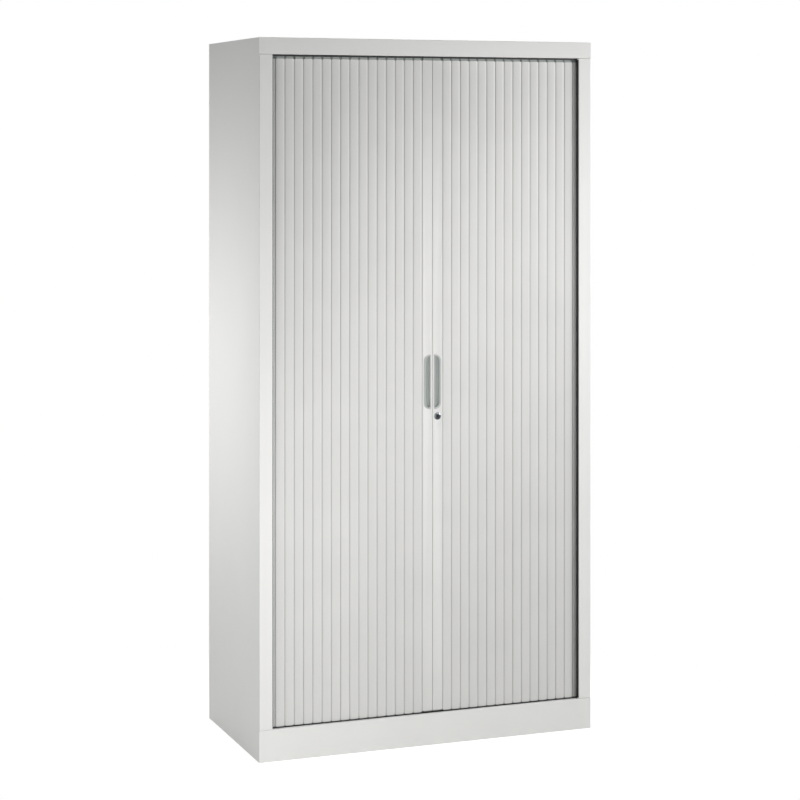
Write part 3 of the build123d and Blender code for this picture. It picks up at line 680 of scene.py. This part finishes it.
def lock_rim():
    """The lock's domed rim, turned, in front of the barrel that the solid has."""
    low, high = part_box("lock_housing")
    radius = (high.x - low.x) / 2
    height = bar_low.y - low.y
    slope = (height - LOCK_RIM_EDGE) / (radius ** 2 - LOCK_BORE ** 2)
    steps = range(LOCK_DOME_STEPS + 1)
    reaches = [LOCK_BORE + (radius - LOCK_BORE) * step / LOCK_DOME_STEPS for step in steps]
    dome = [(reach, height - slope * (reach ** 2 - LOCK_BORE ** 2)) for reach in reaches]
    bm = bmesh.new()
    turned(bm, [(LOCK_BORE, 0), *dome, (radius, 0), (LOCK_BORE, 0)], LOCK_TURN_STEPS)
    bmesh.ops.remove_doubles(bm, verts=bm.verts, dist=MERGE)
    sharp = [e for e in sharp_edges(bm, SHARP_EDGE) if e.verts[0].co.z > LOCK_RIM_EDGE / 2]
    soft_bevel(bm, sharp, LOCK_RIM_ROUND, SMALL_EDGE_STEPS)
    facing = Matrix.Translation(((low.x + high.x) / 2, bar_low.y, (low.z + high.z) / 2))
    bmesh.ops.transform(bm, matrix=facing @ Matrix.Rotation(math.radians(90), 4, "X"), verts=bm.verts)
    bm.from_mesh(lock_barrel())
    # The rim's finish is the lighter plating, its dark tone painted reflection
    finish_piece(bm, "lock_rim", "lock_chrome", "right_leaf", ["lock_housing"], "lock_rim")


# Rivets and screws

def fasteners(name, profile, places, body):
    """Small turned heads on faces that look to the back."""
    bm = bmesh.new()
    for place in places:
        head = turned(bm, profile, SMALL_TURN_STEPS)
        seat = Matrix.Translation(place) @ Matrix.Rotation(math.radians(-90), 4, "X")
        bmesh.ops.transform(bm, matrix=seat, verts=head)
    finish_piece(bm, name, "zinc_steel", body)


def back_rivets():
    """Blind rivets that hold the back sheet on the flanges behind it."""
    low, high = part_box("back_panel")
    rail_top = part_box("rear_base_rail")[1]
    column = rail_top.x + FLANGE_WIDTH / 2
    top_row = high.z - FLANGE_WIDTH / 2
    base_row = (low.z + rail_top.z) / 2
    rise = (top_row - base_row) / SIDE_RIVETS
    levels = [base_row + rise * step for step in range(SIDE_RIVETS + 1)]
    gap = 2 * column / ROW_RIVETS
    across = [-column + gap * step for step in range(1, ROW_RIVETS)]
    sides = [(edge, high.y, level) for edge in (-column, column) for level in levels]
    rows = [(x, high.y, row) for row in (base_row, top_row) for x in across]
    fasteners("back_rivets", RIVET, sides + rows, "root")


def keeper_screws():
    """Two pan-head screws that hold the keeper on the left bar."""
    low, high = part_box("keeper")
    face = low.y + KEEPER_PLATE
    middle = (low.z + high.z) / 2
    places = [((low.x + high.x) / 2, face, middle + end * KEEPER_SCREW_REACH) for end in (-1, 1)]
    fasteners("keeper_screws", PAN_HEAD, places, "left_leaf")


# The left leaf opens towards -X, the right one towards +X.
for name, side in (("left", -1), ("right", 1)):
    curtain(name, side)
    bar_glide(name, side)
    softened(f"{name}_bar", BAR_EDGE_ROUND, f"{name}_leading_bar", "bar_plastic", f"{name}_leaf")
    finger_pull(name, side)
lock_rim()
back_rivets()
keeper_screws()
# The plug takes the near-black plating, its dark tone painted reflection
softened("lock_plug", PLUG_EDGE_ROUND, "lock_cylinder", "lock_chrome", "lock")


# Studio: the camera, the floor, the room and the lamps

def make_camera():
    """The photograph's camera: level, turned 20.9 degrees, with the object below its horizon."""
    data = bpy.data.cameras.new("camera")
    camera = in_scene("camera", data)
    data.sensor_width = 36
    data.lens = 98.53
    data.shift_y = -0.3298
    camera.location = (-2.272, -5.962, 1.7096)
    camera.rotation_euler = (math.radians(90), 0, math.radians(-20.91))
    bpy.context.scene.camera = camera


def seen(tree):
    """1 for the rays that show the background: from the camera, in gloss and through glass."""
    light_path = add(tree, "ShaderNodeLightPath")
    first = add(tree, "ShaderNodeMath", {
        0: light_path.outputs["Is Camera Ray"], 1: light_path.outputs["Is Glossy Ray"]}, operation="MAXIMUM")
    both = add(tree, "ShaderNodeMath", {
        0: first.outputs["Value"], 1: light_path.outputs["Is Transmission Ray"]}, operation="MAXIMUM")
    return both.outputs["Value"]


def pale_floor():
    """A pale studio floor: it keeps the object's shadow near it and is plain white further away."""
    made, tree, place = new_material("pale_studio_floor")
    flat_place = add(tree, "ShaderNodeVectorMath", {0: place, 1: (1, 1, 0)}, operation="MULTIPLY")
    distance = add(tree, "ShaderNodeVectorMath", {0: flat_place.outputs["Vector"]}, operation="LENGTH")
    away = add(tree, "ShaderNodeMapRange", {
        "Value": distance.outputs["Value"], "From Min": SHADOW_REACH, "From Max": WHITE_START},
        interpolation_type="SMOOTHSTEP")
    white = add(tree, "ShaderNodeMath", {0: away.outputs["Result"], 1: seen(tree)}, operation="MULTIPLY")
    diffuse = add(tree, "ShaderNodeBsdfDiffuse", {"Color": linear("#F2F2F1")})
    lift = add(tree, "ShaderNodeMath", {0: seen(tree), 1: FLOOR_LIFT}, operation="MULTIPLY")
    glow = add(tree, "ShaderNodeEmission", {"Color": WHITE, "Strength": lift.outputs["Value"]})
    near = add(tree, "ShaderNodeAddShader", {0: diffuse.outputs["BSDF"], 1: glow.outputs["Emission"]})
    far = add(tree, "ShaderNodeEmission", {"Color": WHITE, "Strength": 1.0})
    both = add(tree, "ShaderNodeMixShader", {
        0: white.outputs["Value"], 1: near.outputs["Shader"], 2: far.outputs["Emission"]})
    add(tree, "ShaderNodeOutputMaterial", {"Surface": both.outputs["Shader"]})
    return made


def make_floor():
    """A wide flat floor that the object stands on."""
    bm = bmesh.new()
    bmesh.ops.create_grid(bm, x_segments=FLOOR_CELLS, y_segments=FLOOR_CELLS, size=FLOOR_HALF)
    floor = in_scene("floor", as_mesh(bm, "floor"))
    floor.data.materials.append(pale_floor())


def make_world():
    """A dim, slightly cool room that the camera and the gloss see as white."""
    world = bpy.data.worlds.new("studio")
    bpy.context.scene.world = world
    world.use_nodes = True
    tree = world.node_tree
    tree.nodes.clear()
    room = add(tree, "ShaderNodeBackground", {"Color": linear("#EDF6F4"), "Strength": ROOM_LIGHT})
    white = add(tree, "ShaderNodeBackground", {"Color": WHITE, "Strength": 1.0})
    both = add(tree, "ShaderNodeMixShader", {
        0: seen(tree), 1: room.outputs["Background"], 2: white.outputs["Background"]})
    add(tree, "ShaderNodeOutputWorld", {"Surface": both.outputs["Shader"]})


def softbox(name, place, target, size, power):
    """A rectangular soft lamp that faces a target, with its power in watts."""
    data = bpy.data.lights.new(name, "AREA")
    data.shape = "RECTANGLE"
    data.size, data.size_y = size
    data.energy = power
    data.color = linear(LAMP_COLOUR)[:3]
    lamp = in_scene(name, data)
    lamp.location = place
    lamp.rotation_euler = (Vector(target) - Vector(place)).to_track_quat("-Z", "Y").to_euler()
    lamp.visible_camera = False


make_camera()
make_floor()
make_world()
# Lamps near the front make the soft patches of light on the doors and the left side; the large one at the
# right carries the rest of the front, and the last three light what the photograph doesn't show.
softbox("left_low_box", (-0.9, -1.15, 0.3), (-0.9, -0.25, 0.3), (0.7, 0.7), power=3.05)
softbox("front_box", (-0.3, -1.15, 0.85), (-0.3, -0.25, 0.85), (0.7, 0.7), power=2.85)
softbox("front_high_box", (0.3, -1.15, 1.4), (0.3, -0.25, 1.4), (0.25, 0.25), power=1.35)
softbox("right_high_box", (0.9, -1.15, 1.4), (0.9, -0.25, 1.4), (0.7, 0.7), power=1.55)
softbox("corner_box", (-1.7, -0.95, 1.5), (-0.5, -0.25, 1.5), (0.5, 0.5), power=3.9)
softbox("left_side_box", (-1.4, 0.25, 1.05), (-0.5, 0.25, 1.05), (0.6, 0.6), power=6.5)
softbox("far_right_box", (3.6, -3.0, 2.2), (0.0, -0.25, 0.9), (1.6, 1.6), power=112)
softbox("right_side_box", (2.3, 0.5, 1.2), (0.5, 0.0, 1.0), (1.2, 1.2), power=4)
softbox("back_box", (0.9, 2.4, 1.9), (0.0, 0.25, 1.1), (1.6, 1.6), power=46)
softbox("top_box", (0.0, 0.1, 2.9), (0.0, 0.0, 1.98), (1.0, 0.5), power=6)

bpy.context.scene.view_settings.view_transform = "Standard"
